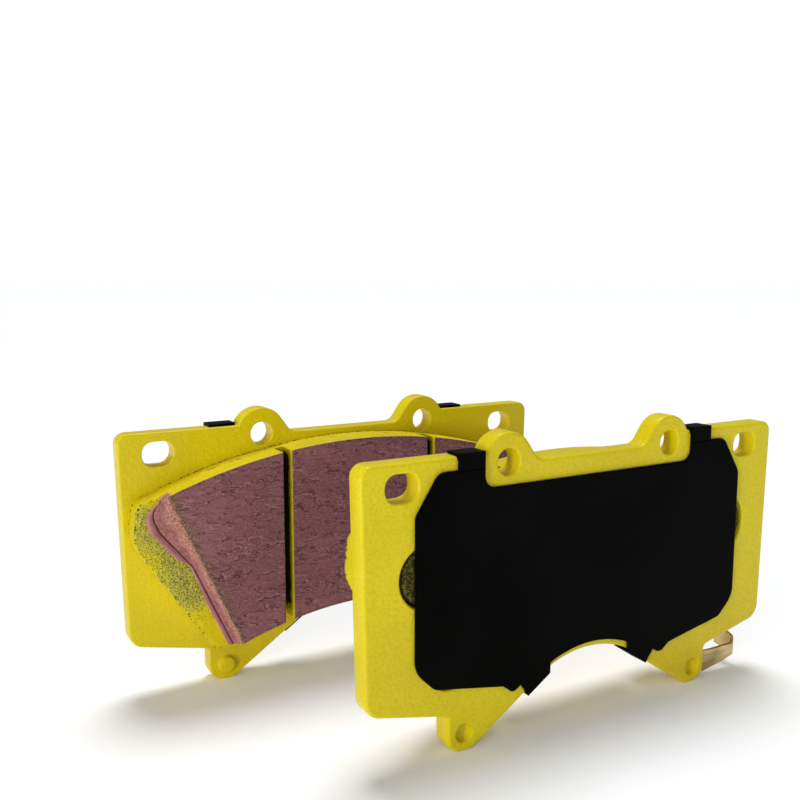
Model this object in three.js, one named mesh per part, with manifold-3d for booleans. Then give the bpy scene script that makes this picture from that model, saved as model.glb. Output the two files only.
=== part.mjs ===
// A pair of disc brake pads, set face to face as they sit across a brake disc.
// Millimetres, +Z up. Each pad stands on the two feet of its backing plate, at z = 0.
// The origin is on the floor, midway between the two pads.

import * as THREE from 'three';
import { mergeVertices } from 'three/addons/utils/BufferGeometryUtils.js';
import Module from 'manifold-3d';

const wasm = await Module();
wasm.setup();

// ---- the pair ----
const discGap = 38.8; // between the two friction faces, with the pads fully retracted
const sideOffset = 36.5; // how far one pad stands to the side of the other

// ---- backing plate: a blanked steel plate, 131.6 wide and 76.6 tall ----
const plateWidth = 131.6;
const plateThickness = 5.5;
const edgeRound = 0.5;
const sideTaper = 1.3; // each side leans in by this much from ear top to ear bottom
const holeLineHeight = 69.4; // height of the two loop holes above the floor
const loopHoleRadius = 3.2;
const loopHoleSpacing = 52.2;
const loopRadius = 7.2; // outside of the loop around each hole
const loopSlope = 55; // degrees, the loop's inner flank
const loopRootRadius = 3.5; // where the flank meets the middle strip
const earTopRise = 2.7; // ear top above the hole line
const earTopRadius = 3.0;
const earBottomRadius = 4.5;
const stripDrop = 0.2; // top of the middle strip below the hole line
const slotInset = 10.6; // middle of the outer slot, from the plate's side
const slotDrop = 3.1;
const slotLength = 8.4;
const slotHeight = 6.6;
const slotEndFlat = 0.6; // the short straight between a slot's round corners
const earBottomHeight = 14.6; // at the plate's side
const notchHeight = 9.8; // where the ear meets the foot
const notchRadius = 1.5;
const footOuter = 42.8; // the foot's outer side, from the plate's middle
const footWidth = 6.8; // at the floor
const footRound = 4.2;
const footInnerRound = 1.0;
const archRadius = 30.0;
const archHeight = 18.2; // underside of the arch at its middle
const archHalfWidth = 12.9;
const dimpleInset = 4.7; // from the foot's outer side
const dimpleHeight = 4.6;
const dimpleRadius = 2.5;
const dimpleDepth = 1.8;
const bossRadius = 2.3;
const bossHeight = 1.6;

// ---- friction material: an annular sector, moulded through holes in the plate ----
const outerRadius = 155.0; // of the swept ring on the disc
const frictionTopDrop = 2.0; // outer arc below the hole line, at the middle
const frictionFloor = 2.0; // inner arc above the plate's arch, at the middle
const frictionHeight = 11.0;
const underlayerHeight = 4.0;
const shoulderHeight = 7.0; // the low step at each end
const coatThickness = 0.3;
const noseInset = 2.4; // the nose stops this far inside the plate's side
const noseWidth = 4.6; // from the end of the outer arc to the nose
const noseDepth = 12.0; // from the end of the outer arc down to the nose's lower corner
const noseTopFall = 1.0; // from the end of the outer arc down to the nose's upper corner
const noseTopRadius = 4.0;
const noseRadius = 10.0;
const frictionFootShift = 0.2; // lower outer corner of the moulding, outside the foot's outer side
const frictionFootRise = 2.05; // and above the notch
const frictionFootRadius = 1.5;
const frictionFootRun = 5.0; // the inner arc ends this far inside that corner
const faceTopInset = 8.2; // the raised block's end at the top, from the plate's side
const faceBottomInset = 4.2; // and at the bottom, from the foot's outer side
const blockTopRadius = 1.8; // of the raised block's outline
const blockBottomRadius = 1.0;
const chamferHeight = 2.7;
const chamferWidth = 2.4;
const coatInset = 0.35; // the coat stops this far inside the block's edges
const grooveSpacing = 45.6;
const grooveWidth = 2.6;

// ---- retention holes, two large and two small in each plate ----
const bigHoleRadius = 7.7;
const bigHoleInset = 17.7; // from the plate's side
const bigHoleDrop = 24.6; // below the hole line
const smallHoleRadius = 5.3;
const smallHoleInset = 0.5; // from the foot's outer side
const smallHoleRise = 12.0; // above the notch
const plugClearance = 0.3;
const plugRecess = 0.4;

// ---- noise shim: glue film, steel sheet with four folded tabs, rubber facing ----
const glueThickness = 0.2;
const steelThickness = 0.6;
const rubberThickness = 0.3;
const glueInset = 1.4;
const rubberInset = 0.25;
const shimSideInset = 13.6; // from the plate's side
const shimTopDrop = 5.4; // between the loops, below the hole line
const shoulderDrop = 0.4; // beside the tabs, below the hole line
const shoulderRun = 5.2; // the shoulder's end, beyond the tab
const shoulderFall = 9.6; // height of the slope between the shoulder and the side
const shimBend = 3.0; // radius of the outline's open corners
const shimArchMargin = 1.7;
const shimCornerRadius = 6.5;
const shimCornerRise = 5.2; // the bevel between the lower edge and the side
const shimEdgeRise = 8.0; // the end of the lower edge, above the notch
const tabLoopGap = 0.6; // between a loop and the tab beside it
const tabWidth = 7.4;
const tabShort = 0.9; // a tab stops this far short of the plate's friction side
const tabGap = 0.15;
const lowTabStart = 0.5; // along the foot's inner edge, from the arch
const lowTabWidth = 8.1;
const lowTabMargin = 1.5; // between the sheet's flat and the foot's edge, beside the low tab
const reliefRise = 3.5; // the notch beside the low tab, above the foot's edge
const reliefWidth = 2.9;
const reliefRadius = 1.6;
const tabRoot = 2.5; // how far a tab's flat reaches back onto the sheet

// ---- wear indicator: a bent spring strip staked on one foot of the front pad ----
const stripThickness = 0.9;
const stripFootGap = 1.1;
const stripReach = 15.4; // beyond the foot's side
const stripStart = 1.6; // the staked end, past the foot's inner side
const stripBottom = 0.8;
const stripRise = 2.6; // the lower edge climbs this much over the arm
const stripTop = 6.8;
const stripStakeTop = 8.2; // of the wider staked end
const stripTipTop = 10.2;
const stripCorner = 2.0; // radius of the outline's corners
const stripCurl = 0.7; // inner radius of the bend at the tip
const stripLean = 2.1; // the tip's upper end slants back by this much
const stripSetBack = 3.5; // the arm's near face, behind the plate's friction side
const stripTipReach = 3.7; // the tip, in front of the plate's friction side
const stakeClearance = 0.3;

// Values that follow from the sizes above.
const halfWidth = plateWidth / 2;
const earTop = holeLineHeight + earTopRise;
const stripTopHeight = holeLineHeight - stripDrop;
const loopX = loopHoleSpacing / 2;
const footInner = footOuter - footWidth;
const dimpleX = footOuter - dimpleInset;
const frictionFootX = footOuter + frictionFootShift;
const faceTopX = halfWidth - faceTopInset;
const faceBottomX = footOuter - faceBottomInset;
const bigHoleX = halfWidth - bigHoleInset;
const bigHoleHeight = holeLineHeight - bigHoleDrop;
const smallHoleX = footOuter - smallHoleInset;
const smallHoleHeight = notchHeight + smallHoleRise;
const shimCornerHeight = notchHeight + shimEdgeRise;
const tabInner = loopX + Math.sqrt(loopRadius ** 2 - earTopRise ** 2) + tabLoopGap;
const slotX = halfWidth - slotInset;
const slotZ = holeLineHeight - slotDrop;
const archCentre = archHeight - archRadius;
const archEndHeight = archCentre + Math.sqrt(archRadius ** 2 - archHalfWidth ** 2);
const discCentre = holeLineHeight - frictionTopDrop - outerRadius;
const innerRadius = archHeight + frictionFloor - discCentre;
const yFriction = plateThickness; // the plate's friction side
const yUnderlayer = yFriction + underlayerHeight;
const yShoulder = yFriction + shoulderHeight;
const yBlock = yFriction + frictionHeight - coatThickness;
const yFace = yFriction + frictionHeight;
const yGlue = -glueThickness;
const ySteel = yGlue - steelThickness;
const yRubber = ySteel - rubberThickness;
const stripBack = yFriction - stripSetBack;
const stripTip = yFriction + stripTipReach;
const padShift = discGap / 2 + yFace;

const overrun = 2.0; // how far a cutting shape runs past what it cuts

// ---- geometry helpers ----

/**
 * A closed outline from corners [x, z, radius]; a corner with a radius is rounded.
 * A radius is limited where its arc would run past the end of an edge beside it.
 */
function roundedOutline(corners, step = 18) {
  const points = [];
  for (let i = 0; i < corners.length; i += 1) {
    const [x, z, radius = 0] = corners[i];
    const corner = new THREE.Vector2(x, z);
    if (radius === 0) {
      points.push(corner);
      continue;
    }
    const before = corners[(i + corners.length - 1) % corners.length];
    const after = corners[(i + 1) % corners.length];
    const back = new THREE.Vector2(before[0], before[1]).sub(corner);
    const ahead = new THREE.Vector2(after[0], after[1]).sub(corner);
    const room = Math.min(back.length(), ahead.length());
    back.normalize();
    ahead.normalize();
    const half = Math.acos(THREE.MathUtils.clamp(back.dot(ahead), -1, 1)) / 2;
    const reach = Math.min(radius / Math.tan(half), room);
    const middle = back.clone().add(ahead).normalize();
    const centre = middle.multiplyScalar(reach / Math.cos(half)).add(corner);
    const start = back.clone().multiplyScalar(reach).add(corner).sub(centre);
    const turn = Math.sign(ahead.cross(back)) * (Math.PI - 2 * half);
    const count = Math.max(1, Math.ceil(Math.abs(turn) / THREE.MathUtils.degToRad(step)));
    for (let k = 0; k <= count; k += 1) {
      points.push(start.clone().rotateAround(new THREE.Vector2(), (turn * k) / count).add(centre));
    }
  }
  return points;
}

/** Points on an arc about (0, centreZ), from x0 to x1, as corners without a radius. */
function archCorners(radius, centreZ, x0, x1, count) {
  const corners = [];
  for (let i = 0; i <= count; i += 1) {
    const x = x0 + ((x1 - x0) * i) / count;
    corners.push([x, centreZ + Math.sqrt(radius ** 2 - x ** 2)]);
  }
  return corners;
}

/** The right half of an outline, joined to its mirror image. */
function mirrored(rightHalf) {
  const leftHalf = rightHalf.map(([x, z, radius]) => [-x, z, radius]).reverse();
  const apart = ([x, z], other) => !other || Math.hypot(x - other[0], z - other[1]) > 1e-6;
  return [...rightHalf, ...leftHalf].filter((corner, i, all) => apart(corner, all[i + 1] ?? all[0]));
}

/** Points round a circle. */
function circle(x, z, radius, count = 32) {
  return Array.from({ length: count }, (_, i) => {
    const angle = (2 * Math.PI * i) / count;
    return new THREE.Vector2(x + radius * Math.cos(angle), z + radius * Math.sin(angle));
  });
}

/** A slab from an outline in X and Z, between two planes in Y, with edges eased by `ease`. */
function slab(outline, yLow, yHigh, holes = [], ease = 0) {
  const shape = new THREE.Shape(outline);
  shape.holes = holes.map((points) => new THREE.Path(points));
  const geometry = new THREE.ExtrudeGeometry(shape, {
    depth: yHigh - yLow - 2 * ease,
    bevelEnabled: ease > 0,
    bevelThickness: ease,
    bevelSize: ease,
    bevelOffset: -ease,
    bevelSegments: 1,
    steps: 1,
  });
  geometry.rotateX(Math.PI / 2);
  const position = geometry.attributes.position;
  geometry.computeBoundingBox();
  const { min, max } = geometry.boundingBox;
  for (let i = 0; i < position.count; i += 1) {
    const share = (position.getY(i) - min.y) / (max.y - min.y);
    position.setY(i, yLow * (1 - share) + yHigh * share);
  }
  return geometry;
}

/** A bar of an outline in X and Y, between two heights. */
function upright(outline, zLow, zHigh) {
  const options = { depth: zHigh - zLow, bevelEnabled: false, steps: 1 };
  return new THREE.ExtrudeGeometry(new THREE.Shape(outline), options).translate(0, 0, zLow);
}

/** A bar of an outline in Y and Z, between two planes in X. */
function crossBar(outline, xLow, xHigh) {
  const options = { depth: xHigh - xLow, bevelEnabled: false, steps: 1 };
  const geometry = new THREE.ExtrudeGeometry(new THREE.Shape(outline), options);
  geometry.rotateY(Math.PI / 2);
  geometry.rotateX(Math.PI / 2);
  return geometry.translate(xLow, 0, 0);
}

/** A closed geometry as a solid that can be joined and cut. */
function toSolid(geometry) {
  const bare = geometry.clone();
  bare.deleteAttribute('normal');
  bare.deleteAttribute('uv');
  const merged = mergeVertices(bare, 1e-5);
  return new wasm.Manifold(new wasm.Mesh({
    numProp: 3,
    vertProperties: Float32Array.from(merged.attributes.position.array),
    triVerts: Uint32Array.from(merged.index.array),
  }));
}

/** The solid's surface as a geometry. */
function toGeometry(solid) {
  const mesh = solid.getMesh();
  const geometry = new THREE.BufferGeometry();
  geometry.setAttribute('position', new THREE.BufferAttribute(mesh.vertProperties, 3));
  geometry.setIndex(new THREE.BufferAttribute(mesh.triVerts, 1));
  const faceted = geometry.toNonIndexed();
  faceted.computeVertexNormals();
  return faceted;
}

function finish(color, roughness, metalness) {
  return new THREE.MeshStandardMaterial({ color, roughness, metalness });
}

function piece(name, geometry, material) {
  const mesh = new THREE.Mesh(geometry, material);
  mesh.name = name;
  return mesh;
}

// ---- backing plate ----

/** One loop, its slope and the middle strip, from the ear's top to the plate's middle. */
function loopCorners() {
  const corners = [];
  const first = Math.asin(earTopRise / loopRadius);
  const last = THREE.MathUtils.degToRad(90 + loopSlope);
  const count = 10;
  for (let i = 0; i <= count; i += 1) {
    const angle = first + ((last - first) * i) / count;
    corners.push([loopX + loopRadius * Math.cos(angle), holeLineHeight + loopRadius * Math.sin(angle)]);
  }
  const [x, z] = corners[count];
  const slope = THREE.MathUtils.degToRad(loopSlope);
  corners.push([x - (z - stripTopHeight) / Math.tan(slope), stripTopHeight, loopRootRadius]);
  return corners;
}

function plateCorners() {
  return mirrored([
    ...archCorners(archRadius, archCentre, 0, archHalfWidth, 8),
    [footInner, 0, footInnerRound],
    [footOuter, 0, footRound],
    [footOuter, notchHeight, notchRadius],
    [halfWidth - sideTaper, earBottomHeight, earBottomRadius],
    [halfWidth, earTop, earTopRadius],
    ...loopCorners(),
    [0, stripTopHeight],
  ]);
}

/** An outer slot with flat top and bottom and round ends. */
function slotOutline(x) {
  const round = (slotHeight - slotEndFlat) / 2;
  const right = x + slotLength / 2;
  const left = x - slotLength / 2;
  const top = slotZ + slotHeight / 2;
  const bottom = slotZ - slotHeight / 2;
  return roundedOutline([
    [left, bottom, round],
    [right, bottom, round],
    [right, top, round],
    [left, top, round],
  ]);
}

/** The centres and radii of the holes that the friction material is moulded through. */
function retentionHoles() {
  const holes = [];
  for (const side of [-1, 1]) {
    holes.push([side * bigHoleX, bigHoleHeight, bigHoleRadius]);
    holes.push([side * smallHoleX, smallHoleHeight, smallHoleRadius]);
  }
  return holes;
}

function backingPlate() {
  const holes = retentionHoles().map(([x, z, radius]) => circle(x, z, radius));
  for (const side of [-1, 1]) {
    holes.push(circle(side * loopX, holeLineHeight, loopHoleRadius, 24));
    holes.push(slotOutline(side * slotX));
  }
  let solid = toSolid(slab(roundedOutline(plateCorners()), 0, plateThickness, holes, edgeRound));
  for (const side of [-1, 1]) {
    const outline = circle(side * dimpleX, dimpleHeight, bossRadius, 20);
    const boss = toSolid(slab(outline, yFriction - edgeRound, yFriction + bossHeight));
    const ring = circle(side * dimpleX, dimpleHeight, dimpleRadius, 20);
    const recess = toSolid(slab(ring, -overrun, dimpleDepth));
    solid = solid.add(boss).subtract(recess);
  }
  return toGeometry(solid);
}

// ---- friction material ----

/** The moulding's footprint: outer arc, round nose, sloping end and inner arc. */
function frictionCorners() {
  const noseX = halfWidth - noseInset;
  const topX = noseX - noseWidth;
  const lean = noseInset / 4; // the nose's side leans out towards its lower corner
  const top = outerArcHeight(topX);
  return mirrored([
    ...archCorners(innerRadius, discCentre, 0, frictionFootX - frictionFootRun, 10),
    [frictionFootX, notchHeight + frictionFootRise, frictionFootRadius],
    [noseX + lean, top - noseDepth, noseRadius],
    [noseX - lean, top - noseTopFall, noseTopRadius],
    ...archCorners(outerRadius, discCentre, topX, 0, 14),
  ]);
}

function outerArcHeight(x) {
  return discCentre + Math.sqrt(outerRadius ** 2 - x ** 2);
}

function innerArcHeight(x) {
  return discCentre + Math.sqrt(innerRadius ** 2 - x ** 2);
}

/** The raised middle block's outline, between the two grooves. */
function middleBlockCorners(inset) {
  const x = (grooveSpacing - grooveWidth) / 2 - inset;
  return mirrored([
    ...archCorners(innerRadius + inset, discCentre, 0, x, 7),
    ...archCorners(outerRadius - inset, discCentre, x, 0, 7),
  ]);
}

/** The raised part of an outer block, on the right side, whose end slopes in towards the foot. */
function endBlockCorners(inset, endInset) {
  const x = (grooveSpacing + grooveWidth) / 2 + inset;
  const topX = faceTopX - endInset;
  const bottomX = faceBottomX - endInset;
  const topRun = blockTopRadius * 1.7; // an arc stops short of the corner that rounds into it
  const bottomRun = blockBottomRadius * 2;
  return [
    ...archCorners(innerRadius + inset, discCentre, x, bottomX - bottomRun, 4),
    [bottomX, innerArcHeight(bottomX) + inset + 0.3, blockBottomRadius],
    [topX, outerArcHeight(topX) - inset - 0.6, blockTopRadius],
    ...archCorners(outerRadius - inset, discCentre, topX - topRun, x, 8),
  ];
}

function underlayer() {
  let solid = toSolid(slab(roundedOutline(frictionCorners()), yFriction, yUnderlayer));
  for (const [x, z, radius] of retentionHoles()) {
    const outline = circle(x, z, radius - edgeRound - plugClearance);
    solid = solid.add(toSolid(slab(outline, plugRecess, yUnderlayer - underlayerHeight / 2)));
  }
  return toGeometry(solid);
}

/** An outer block on the right side: the low shoulder, and the raised part with its chamfered end. */
function endBlock() {
  const x = (grooveSpacing + grooveWidth) / 2;
  const beyondGroove = [
    [x, -overrun],
    [halfWidth + overrun, -overrun],
    [halfWidth + overrun, earTop + overrun],
    [x, earTop + overrun],
  ].map(([px, pz]) => new THREE.Vector2(px, pz));
  const footprint = toSolid(slab(roundedOutline(frictionCorners()), yUnderlayer, yShoulder));
  const half = toSolid(slab(beyondGroove, yUnderlayer - overrun, yShoulder + overrun));
  const shoulder = footprint.intersect(half);
  const raised = toSolid(slab(roundedOutline(endBlockCorners(0, 0)), yUnderlayer, yBlock));
  return toGeometry(raised.subtract(chamferCut()).add(shoulder));
}

/** A wedge that takes the chamfer off the raised part's sloping end. */
function chamferCut() {
  const low = new THREE.Vector2(faceBottomX, innerArcHeight(faceBottomX));
  const high = new THREE.Vector2(faceTopX, outerArcHeight(faceTopX));
  const along = high.clone().sub(low);
  const slope = chamferHeight / chamferWidth;
  const section = [
    [overrun, yFace - chamferHeight - overrun * slope],
    [overrun, yFace + overrun * slope],
    [-chamferWidth - overrun, yFace + overrun * slope],
  ].map(([across, y]) => new THREE.Vector2(across, y));
  const wedge = upright(section, -5 * overrun, along.length() + 5 * overrun);
  wedge.rotateY(Math.atan2(along.x, along.y));
  return toSolid(wedge.translate(low.x, 0, low.y));
}

/** The same solid on the pad's other side. */
function flipped(geometry) {
  return toGeometry(toSolid(geometry).mirror([1, 0, 0]));
}

// ---- noise shim ----

const shimHalf = halfWidth - shimSideInset;
const footSlope = Math.atan2(archEndHeight, footInner - archHalfWidth);

/** A point beside the foot's inner edge: `along` from the arch's end, `off` into the plate. */
function besideFoot(along, off) {
  const x = archHalfWidth + along * Math.cos(footSlope) + off * Math.sin(footSlope);
  const z = archEndHeight - along * Math.sin(footSlope) + off * Math.cos(footSlope);
  return [x, z];
}

/** The shim's flat outline without its tabs, with every edge moved in by `inset`. */
function shimCorners(inset) {
  const lowTabEnd = lowTabStart + lowTabWidth;
  const side = shimHalf - inset;
  const shoulder = holeLineHeight - shoulderDrop - inset;
  return mirrored([
    ...archCorners(archRadius + shimArchMargin + inset, archCentre, 0, archHalfWidth, 8),
    besideFoot(lowTabStart + inset, lowTabMargin + inset),
    besideFoot(lowTabEnd - inset, lowTabMargin + inset),
    [...besideFoot(lowTabEnd - inset, reliefRise + inset), reliefRadius / 3],
    [...besideFoot(lowTabEnd + reliefWidth, reliefRise + inset), reliefRadius],
    [...besideFoot(lowTabEnd + 1.4 * reliefWidth, 2 * reliefRise + inset), reliefRadius],
    [side - shimCornerRise, shimCornerHeight + inset, shimBend],
    [side, shimCornerHeight + shimCornerRise + inset, shimCornerRadius],
    [side, shoulder - shoulderFall, shimBend],
    [tabInner + tabWidth + shoulderRun - inset, shoulder, shimBend],
    [tabInner + inset, shoulder],
    [tabInner + inset, holeLineHeight - shimTopDrop - inset, shimBend],
    [0, holeLineHeight - shimTopDrop - inset],
  ]);
}

/** A tab's section in Y and Z: up past the plate's edge at `edge`, then over it. */
function tabSection(edge, root) {
  const inside = edge + tabGap;
  return roundedOutline([
    [ySteel, root],
    [yGlue, root],
    [yGlue, inside],
    [yFriction - tabShort, inside],
    [yFriction - tabShort, inside + steelThickness],
    [ySteel, inside + steelThickness, steelThickness],
  ]);
}

function shimSteel() {
  let solid = toSolid(slab(roundedOutline(shimCorners(0)), ySteel, yGlue));
  for (const side of [-1, 1]) {
    const upper = crossBar(tabSection(earTop, holeLineHeight - tabRoot), 0, tabWidth);
    upper.translate(side > 0 ? tabInner : -tabInner - tabWidth, 0, 0);
    solid = solid.add(toSolid(upper));
    const lower = crossBar(tabSection(0, -tabRoot), -lowTabWidth / 2, lowTabWidth / 2);
    lower.rotateY(Math.PI + side * footSlope);
    const [x, z] = besideFoot(lowTabStart + lowTabWidth / 2, 0);
    lower.translate(side * x, 0, z);
    solid = solid.add(toSolid(lower));
  }
  return toGeometry(solid);
}

// ---- wear indicator ----

/** The strip as a bar of its bent plan, cut to its outline from the front and from the side. */
function wearIndicator() {
  const left = footInner - stripStart;
  const bend = footOuter + stripFootGap;
  const end = footOuter + stripReach;
  const t = stripThickness;
  const outside = stripCurl + t;
  const plan = roundedOutline([
    [left, yFriction],
    [bend, yFriction, t / 3],
    [bend, stripBack, outside],
    [end, stripBack, outside],
    [end, stripTip],
    [end - t, stripTip],
    [end - t, stripBack + t, stripCurl],
    [bend + t, stripBack + t, t / 3],
    [bend + t, yFriction + t, outside],
    [left, yFriction + t],
  ]);
  const front = roundedOutline([
    [left, stripBottom, stripCorner],
    [bend + stripCorner, stripBottom],
    [end - 2 * stripCorner, stripBottom + stripRise / 2, stripCorner],
    [end + overrun, stripBottom + stripRise],
    [end + overrun, stripTipTop],
    [end - outside, stripTipTop],
    [end - outside, stripTop, stripCurl],
    [bend + stripCorner, stripTop, stripCorner],
    [bend, stripStakeTop, stripCurl],
    [left, stripStakeTop, stripCorner],
  ]);
  const side = [
    [stripBack - overrun, -overrun],
    [stripTip + overrun, -overrun],
    [stripTip + overrun, stripTop - stripLean],
    [stripTip, stripTop - stripLean],
    [stripTip - stripLean, stripTipTop],
    [stripBack - overrun, stripTipTop],
  ].map(([y, z]) => new THREE.Vector2(y, z));
  const hole = circle(dimpleX, dimpleHeight, bossRadius + stakeClearance, 24);
  const solid = toSolid(upright(plan, 0, stripTipTop + overrun))
    .intersect(toSolid(slab(front, stripBack - overrun, stripTip + overrun)))
    .intersect(toSolid(crossBar(side, left - overrun, end + overrun)))
    .subtract(toSolid(slab(hole, yFriction - overrun, yFriction + t + overrun)));
  return toGeometry(solid);
}

// ---- the assembly ----

const plateYellow = finish(0xd8bf1c, 0.45, 0.1);
const mouldYellow = finish(0xc9b528, 0.7, 0.0);
const frictionRed = finish(0x9a5f5f, 0.9, 0.0);
const coatMaroon = finish(0x7a4c4f, 0.9, 0.05);
const glueGrey = finish(0x55554f, 0.6, 0.0);
const steelBlack = finish(0x141414, 0.4, 0.4);
const rubberBlack = finish(0x0b0b0b, 0.45, 0.0);
const springSteel = finish(0xa8925a, 0.35, 0.8);

/** One pad, with its back face at y = 0 and its friction face towards +Y. */
function pad(name) {
  const group = new THREE.Group();
  const right = endBlock();
  const coat = slab(roundedOutline(endBlockCorners(coatInset, chamferWidth + coatInset)), yBlock, yFace);
  const middle = slab(roundedOutline(middleBlockCorners(0)), yUnderlayer, yBlock);
  const middleCoat = slab(roundedOutline(middleBlockCorners(coatInset)), yBlock, yFace);
  const glue = slab(roundedOutline(shimCorners(glueInset)), yGlue, 0);
  const rubber = slab(roundedOutline(shimCorners(rubberInset)), yRubber, ySteel);
  group.add(piece(`${name}_backing_plate`, backingPlate(), plateYellow));
  group.add(piece(`${name}_underlayer`, underlayer(), mouldYellow));
  group.add(piece(`${name}_friction_block_left`, flipped(right), frictionRed));
  group.add(piece(`${name}_friction_block_middle`, middle, frictionRed));
  group.add(piece(`${name}_friction_block_right`, right, frictionRed));
  group.add(piece(`${name}_bedding_coat_left`, flipped(coat), coatMaroon));
  group.add(piece(`${name}_bedding_coat_middle`, middleCoat, coatMaroon));
  group.add(piece(`${name}_bedding_coat_right`, coat, coatMaroon));
  group.add(piece(`${name}_shim_glue_film`, glue, glueGrey));
  group.add(piece(`${name}_shim_steel`, shimSteel(), steelBlack));
  group.add(piece(`${name}_shim_rubber`, rubber, rubberBlack));
  return group;
}

const frontPad = pad('front');
frontPad.add(piece('front_wear_indicator', wearIndicator(), springSteel));
frontPad.position.set(sideOffset / 2, -padShift, 0);

const rearPad = pad('rear');
rearPad.rotation.z = Math.PI;
rearPad.position.set(-sideOffset / 2, padShift, 0);

const padPair = new THREE.Group();
padPair.add(frontPad, rearPad);

export default padPair;
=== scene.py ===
import math

import bmesh
import bpy
import numpy as np
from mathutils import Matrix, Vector, geometry


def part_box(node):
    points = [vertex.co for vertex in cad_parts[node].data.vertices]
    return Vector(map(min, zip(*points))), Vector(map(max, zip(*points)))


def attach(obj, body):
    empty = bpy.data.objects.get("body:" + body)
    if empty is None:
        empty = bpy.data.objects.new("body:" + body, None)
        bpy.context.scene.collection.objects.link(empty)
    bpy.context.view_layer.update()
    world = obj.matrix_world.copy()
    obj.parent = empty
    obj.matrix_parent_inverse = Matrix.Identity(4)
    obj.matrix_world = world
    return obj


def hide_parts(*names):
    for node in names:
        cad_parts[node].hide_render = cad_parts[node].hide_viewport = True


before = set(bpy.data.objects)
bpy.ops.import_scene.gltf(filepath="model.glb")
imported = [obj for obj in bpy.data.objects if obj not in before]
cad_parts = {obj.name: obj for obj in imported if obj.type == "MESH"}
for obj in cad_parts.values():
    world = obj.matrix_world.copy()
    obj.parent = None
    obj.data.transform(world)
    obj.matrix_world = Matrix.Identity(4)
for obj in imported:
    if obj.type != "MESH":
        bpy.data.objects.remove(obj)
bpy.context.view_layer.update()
scene = bpy.context.scene


# ---- Studio -------------------------------------------------------------------------------
# A white floor that runs on to a white backdrop, under a wide key from above, a weaker wide fill
# from the left and a small light low at the left, which edges the front pad. The camera stands at
# the left, a little above the pads, and looks across both.

CAMERA_PLACE = (-0.13275, -0.2041, 0.1122)
CAMERA_TURN = math.radians(29.52)  # from +Y towards +X
CAMERA_DIP = math.radians(7.7)
CAMERA_LENS = 40.46

looks_at = Vector((math.sin(CAMERA_TURN) * math.cos(CAMERA_DIP),
                   math.cos(CAMERA_TURN) * math.cos(CAMERA_DIP),
                   -math.sin(CAMERA_DIP)))
camera = bpy.data.objects.new("camera", bpy.data.cameras.new("camera"))
camera.location = CAMERA_PLACE
camera.rotation_euler = looks_at.to_track_quat("-Z", "Y").to_euler()
camera.data.lens = CAMERA_LENS
camera.data.sensor_width = 36
camera.data.clip_start = 0.01
scene.collection.objects.link(camera)
scene.camera = camera
scene.view_settings.view_transform = "Standard"


def soft_light(name, place, aim, size, power):
    """A square area light that faces a point."""
    light = bpy.data.objects.new(name, bpy.data.lights.new(name, "AREA"))
    light.data.size = size
    light.data.energy = power
    light.location = place
    light.rotation_euler = (Vector(aim) - Vector(place)).to_track_quat("-Z", "Y").to_euler()
    scene.collection.objects.link(light)


def wide_light(name, heading, strength, softness):
    """A distant soft light, which falls evenly over the whole floor; heading points at the light."""
    light = bpy.data.objects.new(name, bpy.data.lights.new(name, "SUN"))
    light.data.energy = strength
    light.data.angle = math.radians(softness)
    light.rotation_euler = Vector(heading).to_track_quat("Z", "Y").to_euler()
    scene.collection.objects.link(light)


wide_light("key", (0.14, 0.24, 0.95), 2.25, 28)
wide_light("fill", (-0.70, -0.50, 0.50), 0.75, 60)
soft_light("strip", (-0.42, -0.23, 0.05), (-0.048, -0.036, 0.04), 0.08, 0.7)

world = bpy.data.worlds.new("studio")
world.use_nodes = True
tree = world.node_tree
backdrop, ambient = tree.nodes["Background"], tree.nodes.new("ShaderNodeBackground")
seen, chosen = tree.nodes.new("ShaderNodeLightPath"), tree.nodes.new("ShaderNodeMixShader")
backdrop.inputs["Color"].default_value = (1, 1, 1, 1)
ambient.inputs["Color"].default_value = (0.92, 0.96, 1, 1)
backdrop.inputs["Strength"].default_value = 1.1
ambient.inputs["Strength"].default_value = 0.23
tree.links.new(seen.outputs["Is Camera Ray"], chosen.inputs[0])
tree.links.new(ambient.outputs[0], chosen.inputs[1])
tree.links.new(backdrop.outputs[0], chosen.inputs[2])
tree.links.new(chosen.outputs[0], tree.nodes["World Output"].inputs["Surface"])
scene.world = world

FLOOR_HALF = 30.0  # metres, so that its edge lies past the horizon
floor = bpy.data.objects.new("floor", bpy.data.meshes.new("floor"))
floor.data.from_pydata([(-FLOOR_HALF, -FLOOR_HALF, 0), (FLOOR_HALF, -FLOOR_HALF, 0),
                        (FLOOR_HALF, FLOOR_HALF, 0), (-FLOOR_HALF, FLOOR_HALF, 0)], [], [(0, 1, 2, 3)])
scene.collection.objects.link(floor)


# ---- Backing plate ------------------------------------------------------------------------
# Blanked from 5.5 mm steel plate with two loops, two slots and two feet, then powder-coated
# yellow. The edges are eased by the press. Four round holes take the moulding's plugs.

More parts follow.
